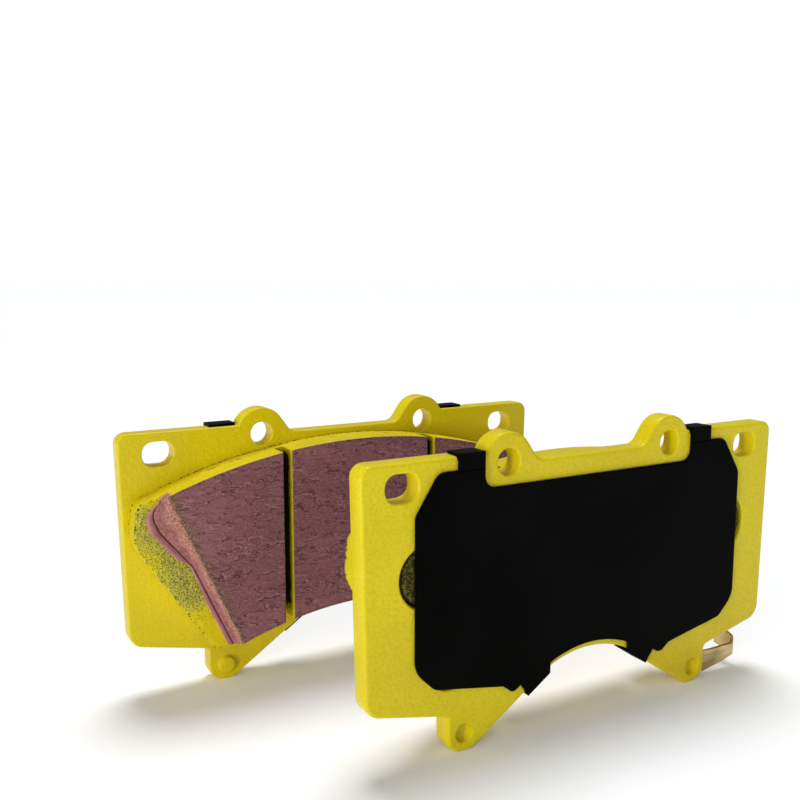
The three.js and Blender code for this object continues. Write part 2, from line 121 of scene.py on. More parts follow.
PLATE_LOW, PLATE_HIGH = (np.array(corner) * 1000 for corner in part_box("front_backing_plate"))
PLATE_WIDTH = PLATE_HIGH[0] - PLATE_LOW[0]
PLATE_THICKNESS = 5.5
HALF_WIDTH = PLATE_WIDTH / 2
LOOP_RADIUS = 7.2
HOLE_LINE = PLATE_HIGH[2] - LOOP_RADIUS  # height of the two loop holes
LOOP_HOLE_RADIUS = 3.2
LOOP_X = 26.1
LOOP_SLOPE = math.radians(55)
EAR_RISE = 2.7
EAR_TOP = HOLE_LINE + EAR_RISE
STRIP_TOP = HOLE_LINE - 0.2
SLOT_X, SLOT_Z = HALF_WIDTH - 10.6, HOLE_LINE - 3.1
SLOT_LENGTH, SLOT_HEIGHT = 8.4, 6.6
EAR_BOTTOM, NOTCH = 14.6, 9.8
FOOT_OUTER, FOOT_INNER = 42.8, 36.0
ARCH_RADIUS, ARCH_HALF = 30.0, 12.9
ARCH_CENTRE = 18.2 - ARCH_RADIUS
DIMPLE_X, DIMPLE_Z = 38.1, 4.6
BIG_HOLE, SMALL_HOLE = (48.1, 44.8, 7.7), (42.3, 21.8, 5.3)  # x, z and radius of the plug holes

# The dimple in each foot and the boss that it raises: pairs of radius, and depth or height.
DIMPLE_SECTION = [(2.6, 0), (2.5, 0.03), (2.4, 0.15), (2.35, 0.4), (2.3, 1.0), (2.1, 1.5),
                  (1.6, 1.75), (0.8, 1.8), (0, 1.8)]
BOSS_SECTION = [(2.7, 0), (2.55, 0.03), (2.4, 0.15), (2.3, 0.4), (2.25, 1.1), (2.0, 1.45),
                (1.3, 1.6), (0, 1.6)]


def rounded(corners, pieces=12):
    """A closed outline in X and Z from corners (x, z, radius): each corner's arc runs between the
    two tangent points, which lie radius / tan(half its angle) from the corner along its edges."""
    spot = np.array([corner[:2] for corner in corners], float)
    radius = np.array([corner[2] if len(corner) > 2 else 0.0 for corner in corners])
    back, ahead = np.roll(spot, 1, 0) - spot, np.roll(spot, -1, 0) - spot
    back_length, ahead_length = np.linalg.norm(back, axis=1), np.linalg.norm(ahead, axis=1)
    back, ahead = back / back_length[:, None], ahead / ahead_length[:, None]
    half = np.arccos(np.clip((back * ahead).sum(1), -1, 1)) / 2
    reach = np.minimum(radius / np.tan(half), np.minimum(back_length, ahead_length))
    middle = back + ahead
    middle /= np.maximum(np.linalg.norm(middle, axis=1), 1e-9)[:, None]
    centre = spot + middle * (reach / np.maximum(np.cos(half), 1e-9))[:, None]
    start = spot + back * reach[:, None] - centre
    side = np.sign(ahead[:, 0] * back[:, 1] - ahead[:, 1] * back[:, 0])
    angle = (side * (np.pi - 2 * half))[:, None] * np.linspace(0, 1, pieces + 1)
    x = centre[:, :1] + start[:, :1] * np.cos(angle) - start[:, 1:] * np.sin(angle)
    z = centre[:, 1:] + start[:, :1] * np.sin(angle) + start[:, 1:] * np.cos(angle)
    outline = np.stack([x.ravel(), z.ravel()], 1)
    return outline[np.linalg.norm(np.roll(outline, -1, 0) - outline, axis=1) > 1e-5]


def even(outline, spacing):
    """The same closed outline, counter-clockwise, with each edge cut into equal steps that are no
    longer than spacing."""
    ahead = np.roll(outline, -1, 0)
    if (outline[:, 0] * ahead[:, 1] - outline[:, 1] * ahead[:, 0]).sum() < 0:
        outline = outline[::-1]
        ahead = np.roll(outline, -1, 0)
    counts = np.ceil(np.linalg.norm(ahead - outline, axis=1) / spacing - 1e-6).astype(int)
    edge = np.repeat(np.arange(len(outline)), counts)
    step = np.arange(counts.sum()) - np.repeat(np.cumsum(counts) - counts, counts)
    share = (step / counts[edge])[:, None]
    return outline[edge] * (1 - share) + ahead[edge] * share


def outward(outline):
    """For each point, the vector that moves both edges beside it out by one unit."""
    edge = np.roll(outline, -1, 0) - outline
    edge /= np.linalg.norm(edge, axis=1)[:, None]
    normal = np.stack([edge[:, 1], -edge[:, 0]], 1)
    before = np.roll(normal, 1, 0)
    return (normal + before) / (1 + (normal * before).sum(1))[:, None]


def arc(radius, centre_z, x0, x1, count=24):
    """Corners on a circle about (0, centre_z), between two places in X."""
    x = np.linspace(x0, x1, count)
    return list(zip(x, centre_z + np.sqrt(radius**2 - x**2)))


def both_sides(right_half):
    """The right half's corners, joined to their mirror image."""
    left_half = [(-corner[0], *corner[1:]) for corner in right_half[::-1]]
    return [*right_half, *(corner for corner in left_half if abs(corner[0]) > 1e-6)]


def circle(x, z, radius, count=72):
    """Points evenly round a circle in X and Z."""
    angle = np.linspace(0, 2 * np.pi, count, endpoint=False)
    return np.stack([x + radius * np.cos(angle), z + radius * np.sin(angle)], 1)


def carried(outline, profile):
    """A profile of (inset, height) pairs carried round an outline: ring k is the outline moved in by
    inset k and set at height k. Returns the rings as one array of x, y, z."""
    inset, height = np.array(profile, float).T
    flat = outline[None] - outward(outline)[None] * inset[:, None, None]
    return np.dstack([flat[..., 0], np.broadcast_to(height[:, None], flat.shape[:2]), flat[..., 1]])


def eased_edge(low, high, low_round, high_round, hold=0.12, steps=5):
    """The profile of a plate's edge: flat, quarter circle, straight wall, quarter circle, flat. The
    flats run in past the quarter circles by hold."""
    turn = np.linspace(0, np.pi / 2, steps)
    lower = [(low_round * (1 - math.sin(a)), low + low_round * (1 - math.cos(a))) for a in turn]
    upper = [(high_round * (1 - math.sin(a)), high - high_round * (1 - math.cos(a))) for a in turn[::-1]]
    return [(low_round + hold, low), *lower, *upper, (high_round + hold, high)]


def inside(points, loop):
    """Even-odd rule: a point is inside where a ray along +X crosses the loop an odd number of times."""
    ahead = np.roll(loop, -1, 0)
    x, z = points[:, :1], points[:, 1:]
    rising = (loop[:, 1] > z) != (ahead[:, 1] > z)
    run = np.where(ahead[:, 1] == loop[:, 1], 1.0, ahead[:, 1] - loop[:, 1])
    crossing = loop[:, 0] + (z - loop[:, 1]) * (ahead[:, 0] - loop[:, 0]) / run
    return ((rising & (x < crossing)).sum(1) % 2) == 1


class Skin:
    """Patches of one closed surface, gathered as triangles in a pad's own millimetres, then welded."""

    def __init__(self):
        self.points, self.triangles, self.count = [], [], 0

    def add(self, points, triangles):
        """Another patch, whose triangles count its own points from 0."""
        self.points.append(points)
        self.triangles.append(np.asarray(triangles, int) + self.count)
        self.count += len(points)

    def rings(self, grid):
        """Two triangles between each pair of neighbouring points on neighbouring closed rings."""
        rows, columns = grid.shape[:2]
        index = np.arange(rows * columns).reshape(rows, columns)
        a, b = index[:-1], index[1:]
        c, d = np.roll(b, -1, 1), np.roll(a, -1, 1)
        quads = np.stack([a, b, c, d], -1).reshape(-1, 4)
        self.add(grid.reshape(-1, 3), np.vstack([quads[:, :3], quads[:, [0, 2, 3]]]))

    def fill(self, loops, height):
        """A flat face inside the first loop and outside the others: a triangulation that keeps to the
        loops' edges, without the triangles whose middle lies outside. It uses the loops' own points."""
        flat = list(map(Vector, np.vstack(loops)[:, [0, 2]].tolist()))
        ends = np.cumsum([len(loop) for loop in loops])
        sides = [np.arange(end - len(loop), end) for loop, end in zip(loops, ends)]
        sides[1:] = [side[::-1] for side in sides[1:]]
        found = geometry.delaunay_2d_cdt(flat, [], [side.tolist() for side in sides], 0, 1e-7)
        spots, faces = np.array(list(map(tuple, found[0]))), np.array(found[2])
        first = np.array([source[0] for source in found[3]])
        middle = spots[faces].mean(1)
        keep = inside(middle, loops[0][:, [0, 2]])
        for loop in loops[1:]:
            keep &= ~inside(middle, loop[:, [0, 2]])
        self.add(np.vstack(loops), first[faces[keep]])

    def welded(self):
        """Points that coincide become one, and triangles without area go."""
        points, triangles = np.vstack(self.points), np.vstack(self.triangles)
        _, first, same = np.unique(np.round(points, 4), axis=0, return_index=True, return_inverse=True)
        triangles = same.ravel()[triangles]
        a, b, c = triangles.T
        return points[first], triangles[(a != b) & (b != c) & (c != a)]


class Value:
    """One output of a shader node. The operators add the Math node that they stand for."""

    def __init__(self, finish, socket):
        self.finish, self.socket = finish, socket

    def math(self, operation, *values):
        """A Math node's output for an operation on some values."""
        return self.finish.node("ShaderNodeMath", {"operation": operation}, dict(enumerate(values)))

    def __add__(self, other):
        return self.math("ADD", self, other)

    def __mul__(self, other):
        return self.math("MULTIPLY", self, other)

    def __sub__(self, other):
        return self.math("SUBTRACT", self, other)

    def __rsub__(self, other):
        return self.math("SUBTRACT", other, self)

    __radd__ = __add__
    __rmul__ = __mul__

    def __matmul__(self, level):
        """How far this is from a level, either way."""
        return self.math("ABSOLUTE", self - level)

    def step(self, low, high):
        """0 below low and 1 above high, smooth between; low may be the higher of the two."""
        return self.finish.node("ShaderNodeMapRange", {"interpolation_type": "SMOOTHSTEP"},
                                {"Value": self, "From Min": low, "From Max": high})


def as_colour(value):
    """A node's output as it is, and three numbers with a full alpha."""
    return value if isinstance(value, Value) else (*value, 1.0)


class Finish:
    """A material on one Principled shader; constants are set on the shader's own sockets."""

    def __init__(self, name, **constants):
        self.material = bpy.data.materials.new(name)
        self.material.use_nodes = True
        self.tree = self.material.node_tree
        self.shader = self.tree.nodes["Principled BSDF"]
        for name, value in constants.items():
            socket = name.replace("_", " ").title().replace("Ior", "IOR")
            self.shader.inputs[socket].default_value = value

    def node(self, kind, settings, inputs, output=0):
        """A node of a kind, with its settings made first and then its sockets set or linked."""
        node = self.tree.nodes.new(kind)
        for key, value in settings.items():
            setattr(node, key, value)
        for key, value in inputs.items():
            if isinstance(value, Value):
                self.tree.links.new(value.socket, node.inputs[key])
            else:
                node.inputs[key].default_value = value
        return Value(self, node.outputs[output])

    def place(self, stretch=(1, 1, 1)):
        """The point on the object, in metres, with each axis scaled."""
        point = self.node("ShaderNodeTexCoord", {}, {}, "Object")
        return self.node("ShaderNodeMapping", {}, {"Vector": point, "Scale": stretch})

    def noise(self, size, detail=2.0, stretch=(1, 1, 1), roughness=0.5):
        """Noise whose features are about size metres across."""
        return self.node("ShaderNodeTexNoise", {}, {"Vector": self.place(stretch), "Scale": 0.6 / size,
                                                    "Detail": detail, "Roughness": roughness})

    def cells(self, size, stretch=(1, 1, 1)):
        """Distance from the nearest of scattered points that lie about size metres apart."""
        return self.node("ShaderNodeTexVoronoi", {}, {"Vector": self.place(stretch), "Scale": 1 / size})

    def mark(self, name):
        """A number that the mesh holds at each point."""
        return self.node("ShaderNodeAttribute", {"attribute_name": name}, {}, "Fac")

    def mix(self, share, low, high):
        """From one colour to another."""
        return self.node("ShaderNodeMix", {"data_type": "RGBA"},
                         {0: share, 6: as_colour(low), 7: as_colour(high)}, 2)

    def bump(self, height, depth, under=None):
        """A normal from a height, whose unit is depth metres."""
        inputs = {"Height": height, "Distance": depth, "Strength": 1.0}
        if under is not None:
            inputs["Normal"] = under
        return self.node("ShaderNodeBump", {}, inputs)

    def wear(self, **values):
        """Links each value to the shader's socket of that name, and gives the material."""
        for name, value in values.items():
            self.tree.links.new(value.socket, self.shader.inputs[name.replace("_", " ").title()])
        return self.material


def shade(red, green, blue):
    """A colour given as it looks, 0 to 255, as the linear values that a shader takes."""
    share = np.array([red, green, blue]) / 255
    return tuple(np.where(share <= 0.04045, share / 12.92, ((share + 0.055) / 1.055) ** 2.4))


SHARP_EDGE = math.radians(35)  # faces that meet at more than this keep a hard edge between them
PAD_X = (PLATE_LOW[0] + PLATE_HIGH[0]) / 2
PAD_BACK = PLATE_LOW[1]
PADS = {"front": 1, "rear": -1}  # the rear pad is the front one turned half a turn about Z


def make(piece, skin, material, marks=None, pads=PADS):
    """One piece for each pad: the welded surface is set in its place in metres, faces outwards,
    and stands for the CAD node of the same name. Marks are functions of the pad's own x, y, z."""
    points, triangles = skin.welded()
    for pad in pads:
        turn = PADS[pad]
        across, along, up = points.T
        place = np.stack([turn * (across + PAD_X), turn * (along + PAD_BACK), up], 1)
        mesh = bpy.data.meshes.new(f"{pad}_{piece}_surface")
        mesh.from_pydata((place / 1000).tolist(), [], triangles.tolist())
        build = bmesh.new()
        build.from_mesh(mesh)
        bmesh.ops.recalc_face_normals(build, faces=build.faces)
        build.to_mesh(mesh)
        build.free()
        mesh.shade_smooth()
        mesh.set_sharp_from_angle(angle=SHARP_EDGE)
        for name, rule in (marks or {}).items():
            mark = mesh.attributes.new(name, "FLOAT", "POINT")
            mark.data.foreach_set("value", rule(*points.T).astype(np.float32))
        mesh.materials.append(material)
        made = bpy.data.objects.new(f"{pad}_{piece}_finish", mesh)
        scene.collection.objects.link(made)
        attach(made, f"{pad}_pad")
        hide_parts(f"{pad}_{piece}")


def loop_corners():
    """Points round one loop, from the ear's top to the slope that runs down to the middle strip."""
    turn = np.linspace(math.asin(EAR_RISE / LOOP_RADIUS), math.pi / 2 + LOOP_SLOPE, 40)
    x, z = LOOP_X + LOOP_RADIUS * np.cos(turn), HOLE_LINE + LOOP_RADIUS * np.sin(turn)
    root = (x[-1] - (z[-1] - STRIP_TOP) / math.tan(LOOP_SLOPE), STRIP_TOP, 3.5)
    return [*zip(x, z), root]


plate_outline = even(rounded(both_sides([
    *arc(ARCH_RADIUS, ARCH_CENTRE, 0, ARCH_HALF),
    (FOOT_INNER, 0, 1.0),
    (FOOT_OUTER, 0, 4.2),
    (FOOT_OUTER, NOTCH, 1.5),
    (HALF_WIDTH - 1.3, EAR_BOTTOM, 4.5),
    (HALF_WIDTH, EAR_TOP, 3.0),
    *loop_corners(),
    (0, STRIP_TOP),
])), 0.8)


def slot_outline(x):
    """An outer slot: flat top and bottom, round ends."""
    round_end = SLOT_HEIGHT / 2 - 0.3
    return rounded([(x + a * SLOT_LENGTH / 2, SLOT_Z + b * SLOT_HEIGHT / 2, round_end)
                    for a, b in ((-1, -1), (1, -1), (1, 1), (-1, 1))])


def turned(x, z, profile, count=48):
    """A profile of (radius, height) pairs turned about an axis along Y."""
    angle = -np.linspace(0, 2 * np.pi, count, endpoint=False)
    radius, height = np.array(profile, float).T
    level = np.broadcast_to(height[:, None], (len(height), count))
    return np.dstack([x + radius[:, None] * np.cos(angle), level, z + radius[:, None] * np.sin(angle)])


def backing_plate():
    """An eased edge carried round the outline and, turned inside out, round each hole and slot, with
    turned dimples and bosses on the feet and a flat face on either side."""
    skin = Skin()
    edge = eased_edge(0, PLATE_THICKNESS, 0.8, 0.5)
    rings = [carried(plate_outline, edge)]
    rim = [(-inset, height) for inset, height in eased_edge(0, PLATE_THICKNESS, 0.55, 0.3)]
    for side in (-1, 1):
        for x, z, radius in (BIG_HOLE, SMALL_HOLE, (LOOP_X, HOLE_LINE, LOOP_HOLE_RADIUS)):
            rings.append(carried(circle(side * x, z, radius), rim))
        rings.append(carried(even(slot_outline(side * SLOT_X), 0.6), rim))
    backs, fronts = [ring[0] for ring in rings], [ring[-1] for ring in rings]
    for ring in rings:
        skin.rings(ring)
    for side in (-1, 1):
        bowl = turned(side * DIMPLE_X, DIMPLE_Z, DIMPLE_SECTION)
        boss = turned(side * DIMPLE_X, DIMPLE_Z, [(r, PLATE_THICKNESS + h) for r, h in BOSS_SECTION])
        skin.rings(bowl)
        skin.rings(boss)
        backs.append(bowl[0])
        fronts.append(boss[0])
    skin.fill(backs, 0)
    skin.fill(fronts, PLATE_THICKNESS)
    return skin


def powder_coat():
    """Yellow powder coat: a fine orange peel, faint cloudiness and a fine, darker grain."""
    coat = Finish("powder_coat", specular_ior_level=0.1, coat_weight=0.3, coat_roughness=0.2)
    cloud = coat.noise(0.02, 3)
    fine = coat.noise(0.00035, 3)
    colour = coat.mix(cloud.step(0.35, 0.7), shade(222, 203, 10), shade(213, 192, 10))
    colour = coat.mix(fine.step(0.42, 0.68) * 0.35, colour, shade(192, 169, 12))
    peel = coat.bump(coat.noise(0.0008, 2), 0.00016)
    grain = coat.bump(fine, 0.00006, peel)
    return coat.wear(base_color=colour, roughness=0.40 + fine * 0.2, normal=grain)


PLATE_FINISH = powder_coat()
make("backing_plate", backing_plate(), PLATE_FINISH)


# ---- Moulding -----------------------------------------------------------------------------
# Friction material pressed through the plate's four round holes and onto its face: a 4 mm
# underlayer with a low shoulder at each end. It is powder-coated together with the plate.

DISC_RADIUS = 155.0  # outer radius of the swept ring
DISC_CENTRE = HOLE_LINE - 2.0 - DISC_RADIUS
SWEPT_INNER = 20.2 - DISC_CENTRE
UNDERLAYER_HEIGHT = 4.0
UNDERLAYER_TOP = PLATE_THICKNESS + UNDERLAYER_HEIGHT
SHOULDER_TOP = PLATE_THICKNESS + 7.0
FACE = PLATE_THICKNESS + 11.0
COAT = 0.3  # thickness of the bedding coat
NOSE_X = HALF_WIDTH - 2.4
NOSE_TOP_X = NOSE_X - 4.6
MOULD_FOOT = (FOOT_OUTER + 0.2, NOTCH + 2.05)
GROOVE_X, GROOVE_WIDTH = 22.8, 2.6
CHAMFER_WIDTH, CHAMFER_HEIGHT = 2.4, 2.7
PLUG_GAP, PLUG_BACK = 0.8, 0.4  # how much slimmer a plug is than its hole, and its back's height


def swept(radius, x):
    """Height of the swept ring's arc above a place in X."""
    return DISC_CENTRE + np.sqrt(radius**2 - np.square(x))


def mould_corners(start):
    """The moulding's right-hand outline, from start along the inner arc, round the nose and back."""
    top = float(swept(DISC_RADIUS, NOSE_TOP_X))
    return [
        *arc(SWEPT_INNER, DISC_CENTRE, start, MOULD_FOOT[0] - 5.0),
        (*MOULD_FOOT, 1.5),
        (NOSE_X + 0.6, top - 12.0, 10.0),
        (NOSE_X - 0.6, top - 1.0, 4.0),
        *arc(DISC_RADIUS, DISC_CENTRE, NOSE_TOP_X, start, 60),
    ]


def lumps(x, z, size, seed):
    """An uneven surface between about -1 and 1: a sum of waves in seeded random directions, whose
    lengths spread around size."""
    random = np.random.default_rng(seed)
    total = 0.0
    for _ in range(14):
        angle, phase = random.uniform(0, 2 * np.pi, 2)
        length = size * random.uniform(0.7, 1.7)
        total = total + np.sin((x * np.cos(angle) + z * np.sin(angle)) * 2 * np.pi / length + phase)
    return total / 14**0.5 / 1.4


def underlayer():
    """The wall carried round the moulding's outline, with four plugs turned about their holes' axes,
    whose backs are uneven."""
    skin = Skin()
    outline = even(rounded(both_sides(mould_corners(0.0))), 0.7)
    wall = carried(outline, [(0.0, PLATE_THICKNESS + up) for up in (0, 0.4, 0.9, 1.6, UNDERLAYER_HEIGHT)])
    skin.rings(wall)
    skin.fill([wall[-1]], UNDERLAYER_TOP)
    roots = [wall[0]]
    for side in (-1, 1):
        for x, z, hole in (BIG_HOLE, SMALL_HOLE):
            radius = hole - PLUG_GAP
            inner = radius - 0.35
            edge = [(radius, PLATE_THICKNESS), (radius, 0.9), (radius - 0.1, 0.6), (inner, 0.45)]
            back = [(r, PLUG_BACK) for r in np.linspace(inner - 0.3, 0, 20)]
            plug = turned(side * x, z, edge + back, 64)
            plug[3:, :, 1] += 0.14 * lumps(plug[3:, :, 0], plug[3:, :, 2], 1.6, 4)
            skin.rings(plug)
            roots.append(plug[0])
    skin.fill(roots, PLATE_THICKNESS)
    return skin


def ramp(value, low, high):
    """0 below low, 1 above high, smooth between."""
    share = np.clip((value - low) / (high - low), 0, 1)
    return share * share * (3 - 2 * share)


END_FOOT = np.array([FOOT_OUTER - 4.2, swept(SWEPT_INNER, FOOT_OUTER - 4.2) + 0.3])
END_TOP = np.array([HALF_WIDTH - 8.2, swept(DISC_RADIUS, HALF_WIDTH - 8.2) - 0.6])
END_ALONG = (END_TOP - END_FOOT) / np.linalg.norm(END_TOP - END_FOOT)


def from_end(x, z):
    """Distance in from the raised block's sloping end, on either side of the pad."""
    return -((np.abs(x) - END_FOOT[0]) * END_ALONG[1] - (z - END_FOOT[1]) * END_ALONG[0])


def along_end(x, z):
    """Distance up along the sloping end, from its foot."""
    return (np.abs(x) - END_FOOT[0]) * END_ALONG[0] + (z - END_FOOT[1]) * END_ALONG[1]


LOBE_START, LOBE_SLOPE, LOBE_DEPTH = 25.7, 0.275, 3.5
LOBE_TURN, LOBE_NOSE = 41.4, 4.0  # where its end begins to round off, and over what distance


def lobe(up):
    """How far the chamfer's lower edge bellies out: it grows over the upper half and ends round."""
    past = np.clip((up - LOBE_TURN) / LOBE_NOSE, 0, 1)
    return np.clip((up - LOBE_START) * LOBE_SLOPE, 0, LOBE_DEPTH) * np.sqrt(1 - np.square(past))


def grain_mark(x, y, z):
    """How much bare grain shows through the paint on the shoulder: most beside the block's end."""
    out = -from_end(x, z)
    band = ramp(z, 19, 31) * ramp(z, 58, 50) * ramp(out, 15, 3)
    return np.where((y > SHOULDER_TOP - 0.6) & (out > -0.2), band, 0.0)


def seam_mark(x, y, z):
    """The pin-holed line where the moulding meets the plate, and the one along the shoulder's rim."""
    foot = ramp(y, PLATE_THICKNESS + 1.6, PLATE_THICKNESS + 0.8)
    rim = ramp(y, SHOULDER_TOP - 0.08, SHOULDER_TOP - 0.2) * ramp(y, SHOULDER_TOP - 1.3, SHOULDER_TOP - 0.7)
    rim = rim * ramp(from_end(x, z), -0.5, -1.5)
    return np.where(y > 1, np.maximum(foot, rim), 0.0)


def plug_mark(x, y, z):
    """The plugs, which lie in the plate's thickness."""
    return ramp(y, 3.0, 2.0)


def bare_mark(x, y, z):
    """The block's sloping end, where the paint is ground away."""
    return ramp(y, SHOULDER_TOP + 0.05, SHOULDER_TOP + 0.25) * ramp(from_end(x, z), 3.4, 2.9)


def chamfer_mark(x, y, z):
    """The ground chamfer, above the crease."""
    return ramp(y, 13.55, 13.95)


def groove_shade_mark(x, y, z):
    """Depth in millimetres below the face on the walls and floor of a groove, and nought elsewhere
    and near the groove's two ends: it sets how far painted shade darkens the groove."""
    near = np.abs(np.abs(x) - GROOVE_X) < GROOVE_WIDTH / 2 + 0.02
    above_low_end = ramp(z - swept(SWEPT_INNER, GROOVE_X), 1.0, 5.0)
    below_high_end = ramp(swept(DISC_RADIUS, GROOVE_X) - z, 0.0, 2.0)
    depth = (FACE - y) * (above_low_end * below_high_end)
    return np.where(near & (y > UNDERLAYER_TOP - 0.1), depth, 0.0)


def spots_mark(x, y, z):
    """The shoulder's lower slope, where single grains show."""
    on_shoulder = (y > SHOULDER_TOP - 0.6) & (y < SHOULDER_TOP + 0.2)
    return np.where(on_shoulder, ramp(z, 44, 30) * ramp(z, 12, 16), 0.0)


def crease_shade_mark(x, y, z):
    """Painted shade along the folded line between the chamfer and the flash below it."""
    off = np.abs(from_end(x, z) + lobe(along_end(x, z)) - 0.2)
    return ramp(off, 0.35, 0.12) * ramp(y, 13.85, 13.72) * ramp(y, 13.0, 13.2)


def height_mark(x, y, z):
    """How far up the chamfer a point lies."""
    return (y - (FACE - CHAMFER_HEIGHT)) / CHAMFER_HEIGHT


MOULD_MARKS = {"grain": grain_mark, "seam": seam_mark, "plug": plug_mark, "bare": bare_mark,
               "chamfer": chamfer_mark, "groove_shade_depth": groove_shade_mark, "crease_shade": crease_shade_mark,
               "height": height_mark, "spots": spots_mark}


def mould_finish():
    """Yellow coat over rough friction material. Dark grains show where the coat is thin, pinholes
    follow the junction with the plate, painted shade darkens the bare grooves to near black with
    depth, and the ground end is pink with a chamfer whose upper part is flecked salmon and buff."""
    coat = Finish("painted_moulding", specular_ior_level=0.15)
    cloud = coat.noise(0.012, 3)
    fine = coat.noise(0.0006, 3)
    paint = coat.mix(cloud.step(0.35, 0.7), shade(219, 200, 10), shade(206, 184, 10))
    paint = coat.mix(fine.step(0.45, 0.7) * 0.35, paint, shade(188, 164, 14))
    grit = coat.noise(0.0003, 3, roughness=0.6)
    grain = coat.mark("grain")
    thin = coat.mix(coat.noise(0.0004, 2).step(0.35, 0.65), shade(156, 154, 78), shade(190, 184, 62))
    patchy = (grain + (coat.noise(0.003, 2) - 0.5) * 1.2).step(0.1, 1.0)
    paint = coat.mix(patchy * 0.85, paint, thin)
    dots = coat.noise(0.00022, 2)
    dark = (dots + grain * 0.10 + coat.noise(0.002, 2) * 0.08).step(0.64, 0.72) * grain.step(0.01, 0.12)
    paint = coat.mix(dark, paint, shade(92, 94, 44))
    sparse = coat.cells(0.0011).step(0.22, 0.12) * coat.noise(0.003, 2).step(0.46, 0.56)
    paint = coat.mix(sparse * coat.mark("spots"), paint, shade(52, 46, 14))
    pin = coat.cells(0.0008, (1, 0.5, 1)).step(0.46, 0.30) * coat.noise(0.0025, 2).step(0.32, 0.44)
    paint = coat.mix(pin * coat.mark("seam"), paint, shade(44, 38, 8))
    plug = coat.mark("plug")
    crumb = coat.noise(0.00035, 3, roughness=0.7)
    paint = coat.mix(plug, paint, coat.mix(crumb.step(0.46, 0.70), shade(40, 38, 14), shade(122, 112, 34)))
    # Painted shade inside the grooves: olive, then near black with depth, over the bare walls. The added
    # noise also mottles the paint olive outside them.
    groove_shade_and_mottling = coat.mark("groove_shade_depth") + coat.noise(0.001, 2) * 2.4
    paint = coat.mix(groove_shade_and_mottling.step(1.4, 2.6) * 0.45, paint, shade(90, 80, 22))
    paint = coat.mix(groove_shade_and_mottling.step(3.2, 5.0), paint, shade(14, 13, 9))
    up = coat.mark("height") + (coat.noise(0.0012, 2) - 0.5) * 0.7
    band = coat.mix(coat.noise(0.004, 2).step(0.3, 0.7), shade(184, 124, 128), shade(160, 102, 108))
    mauve = coat.mix(fine.step(0.4, 0.65), shade(156, 100, 100), shade(128, 82, 74))
    salmon = coat.mix(grit.step(0.40, 0.62), shade(150, 97, 92), shade(194, 136, 118))
    buff = coat.mix(grit.step(0.42, 0.60), shade(108, 78, 66), shade(174, 140, 108))
    ground = coat.mix(up.step(0.35, 0.6), mauve, salmon)
    ground = coat.mix(up.step(0.65, 0.95), ground, buff)
    ground = coat.mix(coat.mark("chamfer"), band, ground)
    # Painted shade: a dark line along the crease below the chamfer.
    ground = coat.mix(coat.mark("crease_shade") * 0.85, ground, shade(72, 36, 44))
    colour = coat.mix(coat.mark("bare"), paint, ground)
    rough = coat.bump(grit * (grain + coat.mark("chamfer") * 0.8) + plug * fine * 2.0, 0.00015)
    peel = coat.bump(coat.noise(0.0007, 2), 0.00007, rough)
    return coat.wear(base_color=colour, roughness=0.5 + fine * 0.25, normal=peel)


MOULD_FINISH = mould_finish()
make("underlayer", underlayer(), MOULD_FINISH, MOULD_MARKS)


# ---- End blocks ---------------------------------------------------------------------------
# The outer third of the friction material on each side. Its raised part ends in a slope with a
# ground chamfer, and below that the moulding runs on as the low shoulder round the nose.

BLOCK_TOP = FACE - COAT
CHAMFER_FOOT = FACE - CHAMFER_HEIGHT
GROOVE_WALL = GROOVE_X + GROOVE_WIDTH / 2
BLOCK_LOW_X, BLOCK_HIGH_X = END_FOOT[0] - 2.0, END_TOP[0] - 3.06  # where its arcs turn into the end


def towards(ring, shares, height):
    """Copies of a ring shrunk towards its middle by each share, down to a point, at a height."""
    middle = ring[:, [0, 2]].mean(0)
    flat = middle + (ring[None][..., [0, 2]] - middle) * np.array(shares)[:, None, None]
    return np.dstack([flat[..., 0], np.full(flat.shape[:2], height), flat[..., 1]])


def flash_width(up):
    """Width of the flash below the chamfer, which is pinched at the middle of the end. Like up, it is
    in millimetres."""
    upper = 1.1 * ramp(up, 26.0, 30.0) * ramp(up, 46.0, 43.0)
    return 0.55 + upper + 0.55 * ramp(up, 24.0, 12.0) - 0.4 * ramp(up, 45.0, 46.5)


def between(outline, start, stop, count):
    """Evenly spaced points along a closed outline, from its point nearest start on to the one
    nearest stop."""
    first = np.linalg.norm(outline - start, axis=1).argmin()
    walk = np.roll(outline, -first, 0)
    walk = walk[: np.linalg.norm(walk - stop, axis=1).argmin() + 1]
    length = np.append(0, np.cumsum(np.linalg.norm(np.diff(walk, axis=0), axis=1)))
    spot = np.linspace(0, length[-1], count)
    return np.stack([np.interp(spot, length, walk[:, 0]), np.interp(spot, length, walk[:, 1])], 1)


def end_outlines():
    """The raised block's outline and the moulding's, point for point: the same along the groove and
    the two arcs, and apart only round the end."""
    low_x = np.linspace(GROOVE_WALL, BLOCK_LOW_X, 30)
    high_x = np.linspace(BLOCK_HIGH_X, GROOVE_WALL, 70)
    low = np.stack([low_x, swept(SWEPT_INNER, low_x)], 1)
    high = np.stack([high_x, swept(DISC_RADIUS, high_x)], 1)
    block = rounded([*map(tuple, low), (*END_FOOT, 1.0), (*END_TOP, 1.8), *map(tuple, high)])
    mould = rounded(mould_corners(GROOVE_WALL))
    ends = [between(even(outline, 0.3), low[-1], high[0], 170)[1:-1] for outline in (block, mould)]
    side_z = np.linspace(high[-1, 1], low[0, 1], 80)[1:-1]
    side = np.stack([np.full(len(side_z), GROOVE_WALL), side_z], 1)
    return [np.vstack([low, end, high, side]) for end in ends]


BLOCK_OUTLINE, MOULD_OUTLINE = end_outlines()
END_IN = np.array([-END_ALONG[1], END_ALONG[0]])
AT_END = ramp(from_end(*BLOCK_OUTLINE.T), 1.4, 0.2)  # 1 on the sloping end, 0 on the other sides
APART = np.linalg.norm(MOULD_OUTLINE - BLOCK_OUTLINE, axis=1)  # the shoulder's width at each point

